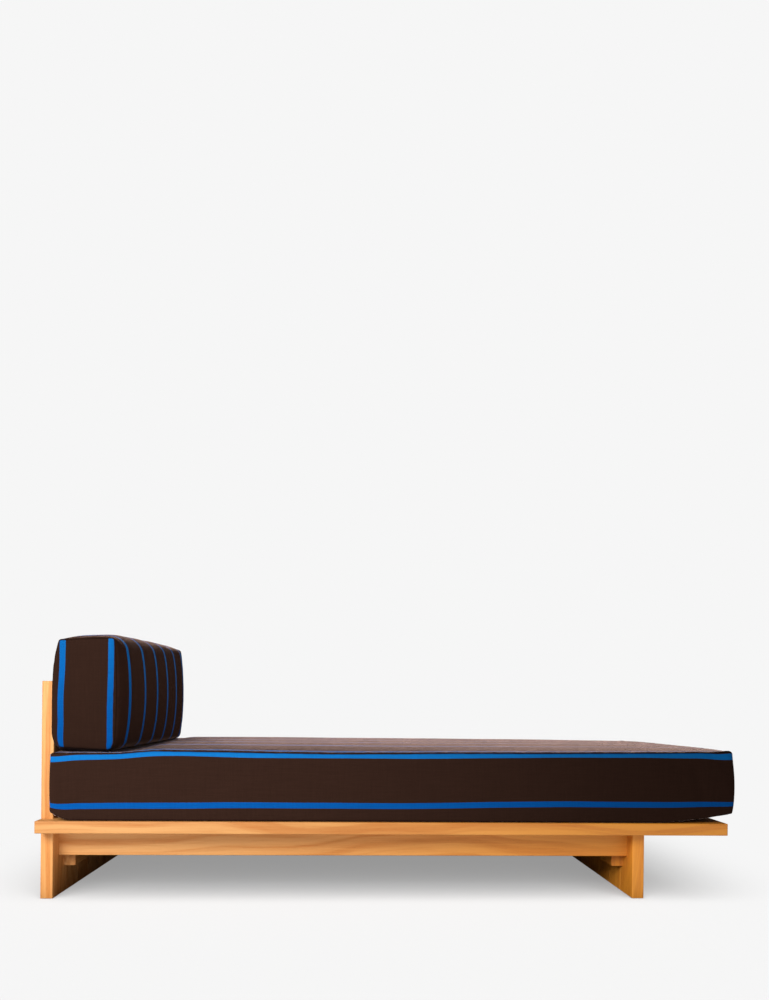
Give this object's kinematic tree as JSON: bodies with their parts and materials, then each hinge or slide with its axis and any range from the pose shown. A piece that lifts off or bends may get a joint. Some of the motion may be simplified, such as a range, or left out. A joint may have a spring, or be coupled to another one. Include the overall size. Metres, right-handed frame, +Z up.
{
  "type": "outdoor daybed",
  "caption": "Low outdoor timber daybed: slatted deck on plank legs, plank back panel at the head, long boxed mattress and a loose bolster cushion against the back.",
  "frame": {"origin": "on the floor, under the middle of the whole daybed", "axes": "+X runs along the daybed from the head (back panel) to the foot, +Y to the far side, +Z up"},
  "size_m": [2.054, 0.914, 0.7876],
  "materials": {
    "teak": "oiled, satin, straight grain",
    "teak_inner": "oiled, satin",
    "teak_slat": "oiled, satin",
    "steel": "satin stainless",
    "brass": "satin",
    "glide_plastic": "matte",
    "mattress_fabric": "woven outdoor cloth, dark brown with blue stripes",
    "bolster_fabric": "woven outdoor cloth, dark brown with blue stripes",
    "foam": "open cell foam block",
    "zip_tape": "coil zip on woven tape",
    "zip_metal": "satin"
  },
  "bodies": {
    "frame": {"head_leg": "teak", "foot_leg": "teak", "back_panel": "teak", "near_apron": "teak", "far_apron": "teak", "head_batten": "teak_inner", "foot_batten": "teak_inner", "near_rail": "teak", "far_rail": "teak", "head_end_rail": "teak", "leg_cross_rail": "teak", "foot_end_rail": "teak", "centre_bearer": "teak_inner", "slat_01": "teak_slat", "slat_02": "teak_slat", "slat_03": "teak_slat", "slat_04": "teak_slat", "slat_05": "teak_slat", "slat_06": "teak_slat", "slat_07": "teak_slat", "slat_08": "teak_slat", "slat_09": "teak_slat", "slat_10": "teak_slat", "slat_11": "teak_slat", "slat_12": "teak_slat", "slat_13": "teak_slat", "slat_14": "teak_slat", "slat_15": "teak_slat", "slat_16": "teak_slat", "slat_17": "teak_slat", "slat_18": "teak_slat", "tie_rods": "steel", "foot_bolts": "steel", "apron_bolts": "steel", "bolt_washers": "steel", "barrel_nuts": "brass", "apron_dowels": "teak_inner", "tenon_pegs": "teak_inner", "batten_screws": "steel", "slat_screws": "steel", "leg_glides": "glide_plastic"},
    "mattress": {"mattress_cover": "mattress_fabric", "mattress_core": "foam", "mattress_zip": "zip_tape"},
    "mattress_slider": {"mattress_zip_slider": "zip_metal"},
    "bolster": {"bolster_cover": "bolster_fabric", "bolster_core": "foam", "bolster_zip": "zip_tape"},
    "bolster_slider": {"bolster_zip_slider": "zip_metal"}
  },
  "joints": [
    {"name": "mattress_lift", "type": "slide", "parent": "frame", "child": "mattress", "axis": [0, 0, 1], "range_m": [0, 0.45]},
    {"name": "bolster_lift", "type": "slide", "parent": "mattress", "child": "bolster", "axis": [0, 0, 1], "range_m": [0, 0.4]},
    {"name": "mattress_zip_slide", "type": "slide", "parent": "mattress", "child": "mattress_slider", "axis": [1, 0, 0], "range_m": [0, 1.2]},
    {"name": "bolster_zip_slide", "type": "slide", "parent": "bolster", "child": "bolster_slider", "axis": [0, -1, 0], "range_m": [0, 0.46]}
  ]
}
